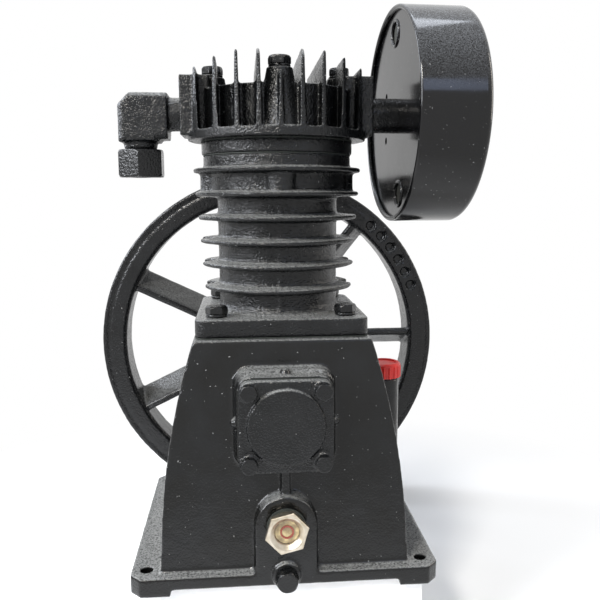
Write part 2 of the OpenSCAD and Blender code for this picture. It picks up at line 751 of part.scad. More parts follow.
// The head fins run from front to back inside the rim, lower towards the sides, with rounded top corners
module head_fin_set() {
    intersection() {
        cylinder(r = rim_r, h = head_fin_h, $fn = round_fn);
        rotate([90, 0, 90]) linear_extrude(2 * rim_r, center = true) {
            translate([-rim_r, -cut]) square([2 * rim_r, head_fin_h - head_fin_round + cut]);
            translate([-rim_r + head_fin_round, 0]) square([2 * (rim_r - head_fin_round), head_fin_h]);
            for (s = [-1, 1]) translate([s * (rim_r - head_fin_round), head_fin_h - head_fin_round])
                circle(head_fin_round, $fn = round_fn);
        }
        union() {
            for (s = [-1, 1], i = [1 : fin_pairs]) {
                x = i * head_fin_gap;
                drop = crown_r - sqrt(crown_r * crown_r - x * x);
                translate([s * x, rim_r, 0]) rotate([90, 0, 0]) linear_extrude(2 * rim_r)
                    head_fin_section(head_fin_h - drop);
            }
        }
    }
    // The middle fin stays under the front and rear bolts
    translate([0, rim_r - 1, 0]) rotate([90, 0, 0]) linear_extrude(2 * rim_r - 2) head_fin_section(head_boss_h - 4);
}

module cylinder_head() {
    color(black_cast) on_cylinder_axis(head_z) difference() {
        union() {
            cylinder(r = rim_r, h = rim_t, $fn = round_fn);
            cylinder(r = head_r, h = head_h, $fn = round_fn);
            head_fin_set();
            head_bolt_spots() {
                cylinder(r = boss_r, h = head_boss_h, $fn = 48);
                cylinder(r1 = boss_r + 8, r2 = boss_r, h = head_boss_h - 2, $fn = 48);
            }
            // Port blocks at the left and right
            translate([-port_block_x, -17, 3]) cube([20, 34, 39]);
            translate([port_block_x - 20, -17, 3]) cube([20, 34, 39]);
        }
        // Discharge chamber at the left, suction chamber at the right, with a wall between them
        for (s = [-1, 1]) intersection() {
            translate([0, 0, -cut]) cylinder(r = bore / 2 - 1, h = head_h - 8 + cut, $fn = round_fn);
            translate([s * (bore / 2 + 3), 0, 0]) cube([bore, bore, 2 * head_h], center = true);
        }
        translate([-port_block_x - cut, 0, port_h]) rotate([0, 90, 0])
            cylinder(d = elbow_neck_d, h = 14 + cut, $fn = round_fn);
        translate([-port_block_x, 0, port_h]) rotate([0, 90, 0])
            cylinder(r = 7.5, h = port_block_x - bore / 2 + 6, $fn = round_fn);
        translate([port_block_x, 0, port_h]) rotate([0, 0, can_lean]) rotate([0, -90, 0]) {
            translate([0, 0, -4]) cylinder(d = stem_d, h = 18, $fn = round_fn);
            cylinder(r = 8.5, h = port_block_x - bore / 2 + 6, $fn = round_fn);
        }
        translate([0, 0, -cut]) head_bolt_spots() cylinder(r = m8_hole, h = head_boss_h + 2 * cut, $fn = 48);
        // Spot faces under the bolt heads, cut through the fins
        translate([0, 0, head_boss_h]) head_bolt_spots() cylinder(r = boss_r, h = 20, $fn = 48);
    }
}

module head_washers() {
    color(black_steel) on_cylinder_axis(boss_top) head_bolt_spots() lock_washer();
}

module head_bolts() {
    color(black_steel) on_cylinder_axis(boss_top + lock_t) head_bolt_spots()
        rotate(15) hex_bolt(m8_af, m8_k, m8_r, lock_t + head_boss_h + plate_t + 2 * gasket_t + 18);
}

module elbow_outline(inset) {
    arm = elbow_d / 2 - inset;
    difference() {
        union() {
            translate([-elbow_x - arm, -arm - 3.5]) square([arm + elbow_x - port_block_x - 8, 2 * arm + 3.5]);
            translate([-elbow_x - arm, -19 + inset / 2]) square([2 * arm, 19]);
        }
        translate([-elbow_x - elbow_d / 2 - 1, elbow_d / 2 + 1]) rotate(45) square([14 + inset, 14 + inset], center = true);
    }
}

module discharge_elbow() {
    color(black_cast) translate([0, cyl_y, port_z]) difference() {
        union() {
            rotate([90, 0, 0]) linear_extrude(elbow_d - 6, center = true) elbow_outline(0);
            rotate([90, 0, 0]) linear_extrude(elbow_d - 3, center = true) elbow_outline(1.2);
            rotate([90, 0, 0]) linear_extrude(elbow_d, center = true) elbow_outline(2.6);
            translate([-port_block_x - 9, 0, 0]) rotate([0, 90, 0])
                cylinder(d = elbow_neck_d, h = 9 + 13, $fn = round_fn);
            translate([-elbow_x, 0, -23]) cylinder(d = elbow_d - 4.5, h = 8, $fn = round_fn);
            translate([-elbow_x, 0, -34]) cylinder(r = 9.6, h = 14, $fn = round_fn);
        }
        translate([-elbow_x, 0, 0]) rotate([0, 90, 0]) cylinder(r = gas_way_r, h = elbow_x, $fn = round_fn);
        translate([-elbow_x, 0, -35]) cylinder(r = gas_way_r, h = 35, $fn = round_fn);
        translate([-elbow_x, 0, -35]) cylinder(r = tube_d / 2 + tube_clear, h = 11, $fn = round_fn);
        // Seat for the olive
        translate([-elbow_x, 0, -34 - eps])
            cylinder(r1 = tube_d / 2 + 2.6, r2 = tube_d / 2 + tube_clear, h = 3.5, $fn = round_fn);
    }
}

tube_clear = 0.05;
gas_way_r = 5;
nut_top = port_z - 23;
olive_z = port_z - 34;

module tube_olive() {
    color("#b08a3e") translate([-elbow_x, cyl_y, olive_z - 3]) difference() {
        union() {
            cylinder(r1 = tube_d / 2 + 1.2, r2 = tube_d / 2 + 2, h = 3, $fn = round_fn);
            translate([0, 0, 3 - eps]) cylinder(r1 = tube_d / 2 + 1.9, r2 = tube_d / 2 + 0.7, h = 2.4, $fn = round_fn);
        }
        translate([0, 0, -cut]) cylinder(r = tube_d / 2 + tube_clear, h = 9, $fn = round_fn);
    }
}

module union_nut() {
    color(black_steel) translate([-elbow_x, cyl_y, nut_top - nut_h - 0.3]) difference() {
        intersection() {
            rotate(30) hex(nut_af, nut_h);
            union() {
                cylinder(r1 = nut_af / 2 + 0.4, r2 = nut_af / 2 + 9, h = nut_h / 2, $fn = round_fn);
                translate([0, 0, nut_h / 2 - eps])
                    cylinder(r1 = nut_af / 2 + 9, r2 = nut_af / 2 + 0.4, h = nut_h / 2 + eps, $fn = round_fn);
            }
        }
        // Threaded part round the elbow's spigot, and the tube's way in from below
        translate([0, 0, 4]) cylinder(r = 9.65, h = nut_h, $fn = round_fn);
        translate([0, 0, -cut]) cylinder(r = tube_d / 2 + 4 * tube_clear, h = nut_h, $fn = round_fn);
    }
}

// Everything of the air filter stands on the suction port's axis, which leans a little
module on_filter_axis() {
    translate([port_block_x, cyl_y, port_z]) rotate([0, 0, can_lean]) rotate([0, 90, 0]) children();
}

module intake_stem() {
    color(black_steel) on_filter_axis() translate([0, 0, -13]) ring(stem_d / 2, stem_d / 2 - 3, can_gap + 13 + 8);
}

// The end plate is set in from the rim. Its large vents sit at the top and bottom, two small ones behind the stem
plate_in = 3;
vent_r = 8.2;
vent_at = 0.76;
vent_angles = [180, -14];
bleed_r = 2.6;
bleed_angles = [55, 125];

module filter_plate() {
    color(black_steel) on_filter_axis() translate([0, 0, can_gap + plate_in]) difference() {
        union() {
            cylinder(r = can_r - sheet_t - 1.8, h = sheet_t, $fn = round_fn);
            ring(stem_d / 2 + 2.5, stem_d / 2 + 0.05, 6);
        }
        translate([0, 0, -cut]) cylinder(r = stem_d / 2 + 0.05, h = 9, $fn = round_fn);
        for (a = vent_angles) rotate(a) translate([vent_at * can_r, 0, -cut]) cylinder(r = vent_r, h = 4, $fn = 48);
        for (a = bleed_angles) rotate(a) translate([stem_d / 2 + 15, 0, -cut]) cylinder(r = bleed_r, h = 4, $fn = 32);
    }
}

module filter_can() {
    bend = 5;
    color(black_steel) on_filter_axis() translate([0, 0, can_gap]) rotate_extrude($fn = round_fn) {
        // Rolled rim, straight wall, rounded edge and flat end
        difference() {
            translate([can_r - 1.5, 1.5]) circle(1.5, $fn = 32);
            translate([can_r - 1.5 - sheet_t, 2.6]) square([1.5, 3]);
        }
        translate([can_r - sheet_t, 1.5]) square([sheet_t, can_l - bend - 1.5]);
        intersection() {
            translate([can_r - bend, can_l - bend]) difference() {
                circle(bend, $fn = 64);
                circle(bend - sheet_t, $fn = 64);
            }
            translate([can_r - bend, can_l - bend]) square(bend);
        }
        translate([0, can_l - sheet_t]) square([can_r - bend, sheet_t]);
    }
}

module filter_element() {
    color("#8c8f8a") on_filter_axis() translate([0, 0, can_gap + plate_in + sheet_t])
        ring(can_r - 6, stem_d / 2 + 3, can_l - plate_in - 2 * sheet_t - 1);
}

module sight_washer() {
    color(gasket_c) facing_front(sight_y, sight_z) ring(sight_af / 2 + 0.5, sight_af / 2 - 3, 0.8);
}

module sight_body() {
    color(bright) facing_front(sight_y - 0.8, sight_z) difference() {
        union() {
            rotate(13.8) intersection() {
                hex(sight_af, sight_t);
                cylinder(r1 = sight_af / 2 + 6, r2 = sight_af / 2 + 0.3, h = sight_t, $fn = round_fn);
            }
            translate([0, 0, -13]) cylinder(r = sight_af / 2 - 3.05, h = 13 + eps, $fn = round_fn);
        }
        // Flared mouth down to the glass, and the bore behind it
        translate([0, 0, sight_t - 3]) cylinder(r1 = 7.6, r2 = 9, h = 3 + eps, $fn = round_fn);
        translate([0, 0, 1]) cylinder(r = 7.6, h = sight_t, $fn = round_fn);
        translate([0, 0, -14]) cylinder(r = 5, h = 16, $fn = round_fn);
    }
}

module sight_lens() {
    color("#c8b98a", 0.6) facing_front(sight_y - 0.8 - sight_t + 3.5 + 2.5, sight_z) cylinder(r = 7.5, h = 2.5, $fn = round_fn);
}

module sight_ring() {
    color("#b3322a") facing_front(sight_y - 0.8 - sight_t + 3.5, sight_z) ring(4.3, 3.3, 0.5);
}

module drain_washer() {
    color("#9a6b45") facing_front(sight_y - drain_boss_l, drain_z) ring(7.4, 4.6, 1);
}

module drain_plug() {
    color(black_steel) facing_front(sight_y - drain_boss_l - 1, drain_z)
        rotate(10) hex_bolt(drain_af, 7, 4.5, 12);
}

module filler_cap() {
    grip_n = 18;
    color("#c22018") translate([filler_x, filler_y, filler_z + 1.2]) {
        difference() {
            union() {
                cylinder(d = cap_d - 1, h = cap_h - 1.2, $fn = round_fn);
                translate([0, 0, cap_h - 1.2 - eps]) cylinder(d1 = cap_d - 1, d2 = cap_d - 4, h = 1.2, $fn = round_fn);
                for (i = [0 : grip_n - 1]) rotate(360 * i / grip_n) translate([cap_d / 2 - 0.9, 0, 0])
                    cylinder(r = 1, h = cap_h - 2.4, $fn = 16);
            }
            translate([0, 0, cap_h - 0.8]) cylinder(d = cap_d - 8, h = 2, $fn = round_fn);
        }
        translate([0, 0, -12]) cylinder(r = filler_r - 3.6, h = 12 + eps, $fn = round_fn);
    }
}

module cap_seal() {
    color("#202020") translate([filler_x, filler_y, filler_z + 0.05]) ring(filler_r - 0.8, filler_r - 3.6, 1.15);
}

// Crank web: a disc on the shaft's axis, cut away beside the pin so that its lower half is the counterweight
module crank_web() {
    difference() {
        cylinder(r = web_r, h = web_t, $fn = round_fn);
        for (s = [-1, 1]) translate([s * (web_r / 2 + 16), web_r / 2 + 4, web_t / 2]) rotate(s * -12)
            cube([web_r, web_r, web_t + 2 * cut], center = true);
    }
}

module crankshaft() {
    front_end = front_brg_y - 3;
    color(bare_iron) {
        difference() {
            union() {
                facing_back(front_end, crank_z) cylinder(d = front_journal_d, h = cyl_y - web_out - front_end, $fn = round_fn);
                facing_back(front_brg_y + brg_w, crank_z)
                    cylinder(d = front_journal_d + 8, h = cyl_y - web_out - front_brg_y - brg_w + eps, $fn = round_fn);
                facing_back(cyl_y - web_out, crank_z) crank_web();
                facing_back(cyl_y - web_in - eps, crank_z + throw) cylinder(d = crankpin_d, h = crankpin_l + 2 * eps, $fn = round_fn);
                facing_back(cyl_y + web_in, crank_z) crank_web();
                facing_back(cyl_y + web_out - eps, crank_z)
                    cylinder(d = rear_journal_d + 8, h = rear_brg_y - cyl_y - web_out + eps, $fn = round_fn);
                facing_back(rear_brg_y - eps, crank_z) cylinder(d = rear_journal_d, h = seal_y - rear_brg_y - 2, $fn = round_fn);
                facing_back(seal_y - 2 - 2 * eps, crank_z) cylinder(r = seal_shaft_r, h = hub_front - seal_y + 2, $fn = round_fn);
                facing_back(hub_front - 3 * eps, crank_z) cylinder(d = hub_bore_d, h = shaft_end - hub_front, $fn = round_fn);
            }
            // Keyway and the thread for the end bolt
            translate([-key_w / 2, hub_front + 6, crank_z + hub_bore_d / 2 - key_h / 2 - 0.5])
                cube([key_w, shaft_end - hub_front, key_h]);
            facing_back(shaft_end - 24, crank_z) cylinder(r = 5, h = 24 + cut, $fn = 48);
        }
    }
}

module shaft_key() {
    color(bare_iron) translate([-key_w / 2, hub_front + 6, crank_z + hub_bore_d / 2 - key_h / 2 - 0.5])
        cube([key_w, shaft_end - hub_front - 8, key_h]);
}

// Section of the rim, x from the shaft's axis, y from the front of the rim to its back
module rim_section() {
    bead = 7;
    difference() {
        union() {
            polygon([[rim_in_r, 3], [rim_in_r + 2.5, 0], [fly_r - bead - 1, 0], [fly_r - bead, 1.4],
                [fly_r - bead + 1, 1.4], [fly_r - bead + 1, fly_w - 1.4], [fly_r - bead - 1, fly_w],
                [rim_in_r + 2.5, fly_w], [rim_in_r, fly_w - 3]]);
            translate([fly_r - bead + 1, 0.8]) square([bead - 2.6, fly_w - 1.6]);
            translate([fly_r - 2.4, 2.4]) square([2.4, fly_w - 4.8]);
            for (y = [2.4, fly_w - 2.4]) translate([fly_r - 2.4, y]) circle(2.4, $fn = 32);
        }
        polygon([[fly_r + 1, fly_w / 2 - groove_w / 2 - 0.35], [fly_r + 1, fly_w / 2 + groove_w / 2 + 0.35],
            [fly_r - groove_depth, fly_w / 2 + groove_w / 2 - groove_depth * 0.36],
            [fly_r - groove_depth, fly_w / 2 - groove_w / 2 + groove_depth * 0.36]]);
    }
}

// A blade is a straight bar with rounded edges, pitched like a fan's and run out from the hub to the rim
module blade() {
    chord = (fly_w - 5) / cos(blade_pitch) - blade_t;
    root = hub_d / 2 - 5;
    translate([root, fly_front + fly_w / 2, crank_z]) rotate([0, 90, 0])
        linear_extrude(rim_in_r + 3 - root) rotate(-blade_pitch) {
            square([blade_t, chord], center = true);
            for (s = [-1, 1]) translate([0, s * chord / 2]) circle(d = blade_t, $fn = 32);
        }
}

module flywheel() {
    color(black_cast) difference() {
        union() {
            facing_back(fly_front, crank_z) rotate_extrude($fn = big_fn) rim_section();
            facing_back(hub_front, crank_z) cylinder(d1 = hub_d - 4, d2 = hub_d, h = fly_front - hub_front + 4, $fn = round_fn);
            facing_back(fly_front + 3, crank_z) cylinder(d = hub_d, h = hub_back - fly_front - 3, $fn = round_fn);
            for (i = [0 : blade_n - 1]) translate([0, 0, crank_z]) rotate([0, -360 * i / blade_n, 0])
                translate([0, 0, -crank_z]) blade();
        }
        facing_back(hub_front - cut, crank_z) cylinder(d = hub_bore_d, h = hub_back - hub_front + 2 * cut, $fn = round_fn);
        translate([-key_w / 2, hub_front - cut, crank_z]) cube([key_w, hub_back - hub_front + 2 * cut, hub_bore_d / 2 + key_h / 2 - 0.3]);
        // Balance drillings in the front of the rim
        for (i = [0 : 5]) facing_back(fly_front - cut, crank_z) rotate(21 + 5.5 * i)
            translate([rim_in_r + 11, 0, 0]) cylinder(d = 8.6, h = 4 + cut, $fn = 48);
    }
}

module flywheel_washer() {
    color(black_steel) facing_back(hub_back, crank_z) ring(hub_bore_d / 2 + 4, 5.2, hub_washer_t);
}

module flywheel_bolt() {
    color(black_steel) facing_back(hub_back + hub_washer_t, crank_z) hex_bolt(16, 6.5, 5, hub_washer_t + 22);
}

// Ring grooves are measured down from the crown
ring_tops = [6, 12];
oil_ring_top = 18;
ring_h = 2.5;
oil_ring_h = 4;
ring_in = 3.2;

module piston() {
    color(bare_iron) on_cylinder_axis(crown_z - piston_h) difference() {
        cylinder(r = piston_r, h = piston_h, $fn = round_fn);
        difference() {
            translate([0, 0, -cut]) cylinder(r = piston_r - 5.5, h = piston_h - 7 + cut, $fn = round_fn);
            // Wrist pin bosses on the skirt's inner wall
            for (s = [-1, 1]) translate([0, s * (piston_r - 2), piston_h - 25]) rotate([90, 0, 0])
                cylinder(r = wrist_d / 2 + 5, h = 26, center = true, $fn = round_fn);
        }
        translate([0, 0, piston_h - 25]) rotate([90, 0, 0])
            cylinder(d = wrist_d, h = 2 * bore, center = true, $fn = round_fn);
        for (t = ring_tops) translate([0, 0, piston_h - t - ring_h]) ring(piston_r + 1, piston_r - ring_in, ring_h);
        translate([0, 0, piston_h - oil_ring_top - oil_ring_h]) ring(piston_r + 1, piston_r - ring_in, oil_ring_h);
    }
}

module split_ring(z, h) {
    on_cylinder_axis(z) difference() {
        ring(piston_r + piston_clear / 2, piston_r - ring_in + 0.1, h);
        translate([0, bore / 2, 0]) cube([1, bore / 2, 4 * h], center = true);
    }
}

module compression_rings() {
    color(bright) for (t = ring_tops) split_ring(crown_z - t - ring_h, ring_h);
}

module oil_ring() {
    color(bright) split_ring(crown_z - oil_ring_top - oil_ring_h, oil_ring_h);
}

// The circlips end inside the oil ring, whose groove crosses the ends of the pin's bore
wrist_half = bore / 2 - 5.6;

module wrist_pin() {
    color(bright) translate([0, cyl_y, wrist_z]) rotate([90, 0, 0]) difference() {
        cylinder(d = wrist_d, h = 2 * wrist_half, center = true, $fn = round_fn);
        cylinder(d = wrist_d - 6, h = 2 * bore, center = true, $fn = round_fn);
    }
}

module pin_circlips() {
    color(bright) for (s = [-1, 1]) translate([0, cyl_y + s * (wrist_half + 0.7), wrist_z]) rotate([90, 0, 0])
        difference() {
            cylinder(d = wrist_d, h = 1.2, center = true, $fn = round_fn);
            cylinder(d = wrist_d - 3, h = 4, center = true, $fn = round_fn);
            translate([0, wrist_d / 2, 0]) cube([5, wrist_d / 2, 4], center = true);
        }
}

crankcase();
cover_gasket();
front_cover();
cover_bolts();
rear_gasket();
rear_bearing_housing();
rear_housing_bolts();
oil_seal();
front_bearing_outer();
rear_bearing_outer();
base_gasket();
cylinder_block();
cylinder_washers();
cylinder_bolts();
plate_gasket();
valve_plate();
suction_reed();
discharge_reed();
reed_screws();
head_gasket();
cylinder_head();
head_washers();
head_bolts();
discharge_elbow();
tube_olive();
union_nut();
intake_stem();
filter_plate();
filter_can();
filter_element();
sight_washer();
sight_body();
sight_lens();
sight_ring();
drain_washer();
drain_plug();
filler_cap();
cap_seal();
crankshaft();
front_bearing_inner();
rear_bearing_inner();
front_balls();
rear_balls();
shaft_key();
flywheel();
flywheel_washer();
flywheel_bolt();
piston();
compression_rings();
oil_ring();
wrist_pin();
pin_circlips();
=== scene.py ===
"""Belt-driven air compressor pump head: finishes, cast skins, camera and studio light."""
import json
import math

import bmesh
import bpy
from mathutils import Matrix, Vector

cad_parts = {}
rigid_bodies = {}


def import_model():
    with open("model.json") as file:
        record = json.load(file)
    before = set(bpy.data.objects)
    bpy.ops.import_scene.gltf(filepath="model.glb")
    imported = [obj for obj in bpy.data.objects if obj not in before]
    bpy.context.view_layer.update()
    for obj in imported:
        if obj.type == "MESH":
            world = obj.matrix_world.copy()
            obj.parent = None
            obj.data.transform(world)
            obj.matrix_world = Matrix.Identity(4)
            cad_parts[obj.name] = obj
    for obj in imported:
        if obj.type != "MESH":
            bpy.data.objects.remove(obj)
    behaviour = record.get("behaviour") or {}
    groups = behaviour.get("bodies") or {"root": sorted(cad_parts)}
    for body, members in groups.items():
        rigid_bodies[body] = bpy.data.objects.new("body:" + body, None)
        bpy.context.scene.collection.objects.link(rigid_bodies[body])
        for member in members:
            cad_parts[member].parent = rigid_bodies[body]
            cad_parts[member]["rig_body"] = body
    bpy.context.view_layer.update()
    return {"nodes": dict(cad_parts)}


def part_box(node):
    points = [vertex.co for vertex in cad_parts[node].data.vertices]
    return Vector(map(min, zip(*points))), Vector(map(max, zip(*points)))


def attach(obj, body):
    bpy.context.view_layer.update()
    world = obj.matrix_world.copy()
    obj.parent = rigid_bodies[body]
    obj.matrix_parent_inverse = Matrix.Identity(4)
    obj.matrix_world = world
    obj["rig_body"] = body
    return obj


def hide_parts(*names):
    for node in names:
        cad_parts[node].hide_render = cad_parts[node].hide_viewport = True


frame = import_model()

MM = 0.001
NODES = frame["nodes"]
SCENE = bpy.context.scene


# Colour and shader helpers

def linear(code):
    """An sRGB hex colour, such as "c81e18", as the linear RGBA that a shader takes."""
    parts = [int(code[i:i + 2], 16) / 255 for i in (0, 2, 4)]
    return tuple(c / 12.92 if c <= 0.04045 else ((c + 0.055) / 1.055) ** 2.4 for c in parts) + (1.0,)


def per_mm(size):
    """Texture scale, per metre, of a pattern whose features are that many millimetres apart."""
    return 1 / (size * MM)


def add(tree, kind, links=None, sockets=None, **settings):
    """Adds one shader node: its properties in settings, its input values in sockets.

    links says which output feeds which input.
    """
    made = tree.nodes.new("ShaderNode" + kind)
    for key, value in settings.items():
        setattr(made, key, value)
    for key, value in (sockets or {}).items():
        made.inputs[key].default_value = value
    for key, source in (links or {}).items():
        tree.links.new(source, made.inputs[key])
    return made


def ramp(tree, source, low, high, start=0.0, end=1.0):
    """source taken from the span low..high to the span start..end, and held there outside it."""
    spans = {"From Min": low, "From Max": high, "To Min": start, "To Max": end}
    return add(tree, "MapRange", {"Value": source}, spans).outputs["Result"]


def times(tree, first, second):
    """The product of two sockets, or of a socket and a number."""
    made = add(tree, "Math", {0: first}, operation="MULTIPLY")
    if isinstance(second, float):
        made.inputs[1].default_value = second
    else:
        tree.links.new(second, made.inputs[1])
    return made.outputs[0]


def blend_colour(tree, factor, first, second):
    """first where factor is 0, second where it is 1. Each is a hex code or a socket."""
    mix = add(tree, "Mix", data_type="RGBA")
    tree.links.new(factor, mix.inputs["Factor"])
    for key, colour in (("A", first), ("B", second)):
        socket = [s for s in mix.inputs if s.name == key and s.type == "RGBA"][0]
        if isinstance(colour, str):
            socket.default_value = linear(colour)
        else:
            tree.links.new(colour, socket)
    return [s for s in mix.outputs if s.type == "RGBA"][0]


def noise(tree, size, detail=2.0, rough=0.5, stretch=None):
    """Cloudy noise with features of that many millimetres, fixed to the piece."""
    place = add(tree, "TexCoord").outputs["Object"]
    if stretch:
        place = add(tree, "Mapping", {"Vector": place}, {"Scale": stretch}).outputs["Vector"]
    settings = {"Scale": per_mm(size), "Detail": detail, "Roughness": rough}
    return add(tree, "TexNoise", {"Vector": place}, settings).outputs["Fac"]


def bump(tree, height, depth, below=None):
    """A bump of that many millimetres from a height of 0 to 1, over the bump below it."""
    made = add(tree, "Bump", {"Height": height}, {"Distance": depth * MM, "Strength": 1.0})
    if below is not None:
        tree.links.new(below, made.inputs["Normal"])
    return made.outputs["Normal"]


def facing_up(tree, low, high):
    """0 where the normal's upright part is under low, and 1 from high on."""
    normal = add(tree, "NewGeometry").outputs["Normal"]
    upright = add(tree, "SeparateXYZ", {"Vector": normal}).outputs["Z"]
    return ramp(tree, upright, low, high)


def seen_directly(tree):
    """1 for what the camera sees, also in a reflection or through glass, and 0 for diffuse light."""
    ray = add(tree, "LightPath")
    camera_or_gloss = {0: ray.outputs["Is Camera Ray"], 1: ray.outputs["Is Glossy Ray"]}
    seen = add(tree, "Math", camera_or_gloss, operation="MAXIMUM").outputs[0]
    through = {0: seen, 1: ray.outputs["Is Transmission Ray"]}
    return add(tree, "Math", through, operation="MAXIMUM").outputs[0]


def finish_material(name, sockets, colour=None, rough=None, normal=None):
    """A new material from plain values and from what feeds its colour, roughness and normal."""
    material = bpy.data.materials.new(name)
    material.use_nodes = True
    tree = material.node_tree
    surface = tree.nodes["Principled BSDF"]
    for key, value in sockets.items():
        surface.inputs[key].default_value = value
    for key, make in (("Base Color", colour), ("Roughness", rough), ("Normal", normal)):
        if make:
            tree.links.new(make(tree), surface.inputs[key])
    return material


# Finishes. Sizes are in millimetres

PAINT_IOR = 1.4
SMOOTH_PAINT_IOR = 1.42
FLECK_GREY = "8f908e"


def pebbles(tree, size):
    """Rounded grains of that many millimetres: the print of a sand mould under thick paint."""
    place = add(tree, "TexCoord").outputs["Object"]
    settings = {"Scale": per_mm(size * 1.7), "Detail": 1.0}
    wander = add(tree, "TexNoise", {"Vector": place}, settings).outputs["Color"]
    # The grains are pushed about by up to their own size, so that they don't stand in rows
    push = {1: (size * MM, size * MM, size * MM)}
    bend = add(tree, "VectorMath", {0: wander}, push, operation="MULTIPLY").outputs[0]
    moved = add(tree, "VectorMath", {0: place, 1: bend}, operation="ADD").outputs[0]
    cells = add(tree, "TexVoronoi", {"Vector": moved}, {"Scale": per_mm(size), "Smoothness": 0.6},
                feature="SMOOTH_F1").outputs["Distance"]
    return ramp(tree, cells, 0.0, 0.75, 1, 0)


def enamel_on_casting(name, colour, grain, grain_depth, dust_and_sheen_share, roughness):
    """Black gloss enamel on sand-cast iron: the mould's grain stays, rounded, and glints."""
    def paint(tree):
        patchy = ramp(tree, noise(tree, 22, 3), 0.35, 0.7)
        painted = blend_colour(tree, patchy, colour, "121314")
        # Grey on whatever faces up: dust and overspray in specks, and a painted sheen of the sky on
        # the upper faces
        speck_and_sheen_noise = ramp(tree, noise(tree, 1.4, 4, 0.75), 0.34, 0.56)
        dust_and_top_sheen = times(tree, times(tree, facing_up(tree, 0.5, 0.9), speck_and_sheen_noise), dust_and_sheen_share)
        # Lighter grey on upward faces: dust, and partly a painted sky sheen
        painted = blend_colour(tree, dust_and_top_sheen, painted, "949593")
        # Pale flecks, about a millimetre across and a centimetre or more apart
        fleck = ramp(tree, noise(tree, 1.7, 1), 0.762, 0.785, 0, 0.7)
        return blend_colour(tree, fleck, painted, FLECK_GREY)

    def shine(tree):
        return ramp(tree, noise(tree, 9, 4, 0.6), 0.3, 0.7, roughness, roughness + 0.13)

    def grit(tree):
        waves = bump(tree, noise(tree, 7, 2), 0.2)
        sand = bump(tree, pebbles(tree, grain), grain_depth, waves)
        return bump(tree, noise(tree, 0.8, 1), 0.05, sand)

    return finish_material(name, {"IOR": PAINT_IOR}, paint, shine, grit)


def enamel_on_sheet():
    """Gloss black stoving enamel on pressed sheet: smooth, with a faint orange peel."""
    def paint(tree):
        # Grey on whatever faces up: dust in specks, and a painted sheen of the sky on the can's
        # upper side
        speck_and_sheen_noise = ramp(tree, noise(tree, 0.9, 4, 0.8), 0.42, 0.6)
        dust_and_can_sheen = times(tree, times(tree, facing_up(tree, 0.1, 0.9), speck_and_sheen_noise), 0.75)
        painted = blend_colour(tree, dust_and_can_sheen, "070708", "7b7e82")
        fleck = ramp(tree, noise(tree, 1.3, 1), 0.75, 0.77, 0, 0.6)
        return blend_colour(tree, fleck, painted, FLECK_GREY)

    def shine(tree):
        return ramp(tree, noise(tree, 30, 3), 0.35, 0.65, 0.1, 0.17)

    def peel(tree):
        dents = bump(tree, noise(tree, 45, 1), 0.25)
        return bump(tree, noise(tree, 2.6, 1), 0.012, dents)

    return finish_material("gloss_enamel_on_sheet_steel", {"IOR": SMOOTH_PAINT_IOR},
                           paint, shine, peel)


def enamel_on_steel():
    """Black enamel over machined bolts and nuts: here and there thin, so that it looks greyer."""
    def paint(tree):
        thin = ramp(tree, noise(tree, 1.6, 4, 0.7), 0.55, 0.75, 0, 0.6)
        return blend_colour(tree, thin, "0b0c0d", "1c1d1f")

    def shine(tree):
        return ramp(tree, noise(tree, 2.4, 3), 0.3, 0.7, 0.12, 0.3)

    def runs(tree):
        return bump(tree, noise(tree, 1.5, 2), 0.3)

    return finish_material("black_enamel_on_steel", {"IOR": SMOOTH_PAINT_IOR}, paint, shine, runs)


def bare_metal(name, colour, other, roughness, mark, stretch):
    """Machined or ground metal: tool marks drawn out by stretch, slightly uneven colour."""
    def tone(tree):
        return blend_colour(tree, ramp(tree, noise(tree, 6, 3), 0.35, 0.65), colour, other)

    def shine(tree):
        scratches = noise(tree, mark, 2, 0.5, stretch)
        return ramp(tree, scratches, 0.3, 0.7, roughness, roughness + 0.14)

    def marks(tree):
        return bump(tree, noise(tree, mark, 2, 0.5, stretch), 0.02)

    return finish_material(name, {"Metallic": 1.0}, tone, shine, marks)


def soft_stuff(name, colour, other, size, roughness, depth):
    """Rubber, gasket sheet or felt: matt, with a grain of that many millimetres."""
    def tone(tree):
        mottle = ramp(tree, noise(tree, size, 4, 0.7), 0.35, 0.65)
        return blend_colour(tree, mottle, colour, other)

    def grain(tree):
        return bump(tree, noise(tree, size, 3, 0.6), depth)

    return finish_material(name, {"Roughness": roughness, "Specular IOR Level": 0.4},
                           tone, None, grain)


def moulded_red():
    """Moulded red plastic: even colour, fine spark-eroded texture, slightly translucent."""
    def tone(tree):
        return blend_colour(tree, ramp(tree, noise(tree, 8, 2), 0.3, 0.7), "d3251c", "bf1d17")

    def shine(tree):
        return ramp(tree, noise(tree, 0.6, 2), 0.3, 0.7, 0.3, 0.42)

    def grain(tree):
        return bump(tree, noise(tree, 0.5, 2), 0.03)

    glow = {"Subsurface Weight": 0.08, "Subsurface Radius": (0.002, 0.0005, 0.0003)}
    return finish_material("moulded_red_plastic", {"IOR": 1.46, **glow}, tone, shine, grain)


def lens_glass():
    """Pressed lens with clean amber oil right behind it: glossy on top, pale and cloudy below."""
    def tone(tree):
        return blend_colour(tree, ramp(tree, noise(tree, 5, 2), 0.35, 0.6), "b9a678", "7f6c4a")

    gloss = {"Roughness": 0.06, "IOR": 1.5, "Coat Weight": 0.5, "Coat Roughness": 0.02}
    return finish_material("sight_glass_lens", gloss, tone)


# Castings: colour, grain, depth of the grain, share of dust and painted top sheen, roughness
cast_enamel = enamel_on_casting("gloss_enamel_on_cast_iron", "0b0c0d", 1.15, 0.3, 0.75, 0.18)
base_enamel = enamel_on_casting("gloss_enamel_on_cast_base", "0b0b0a", 1.3, 0.09, 0.7, 0.12)
wheel_enamel = enamel_on_casting("gloss_enamel_on_cast_wheel", "0a0a0b", 1.4, 0.18, 0.35, 0.16)
sheet_enamel = enamel_on_sheet()
bolt_enamel = enamel_on_steel()

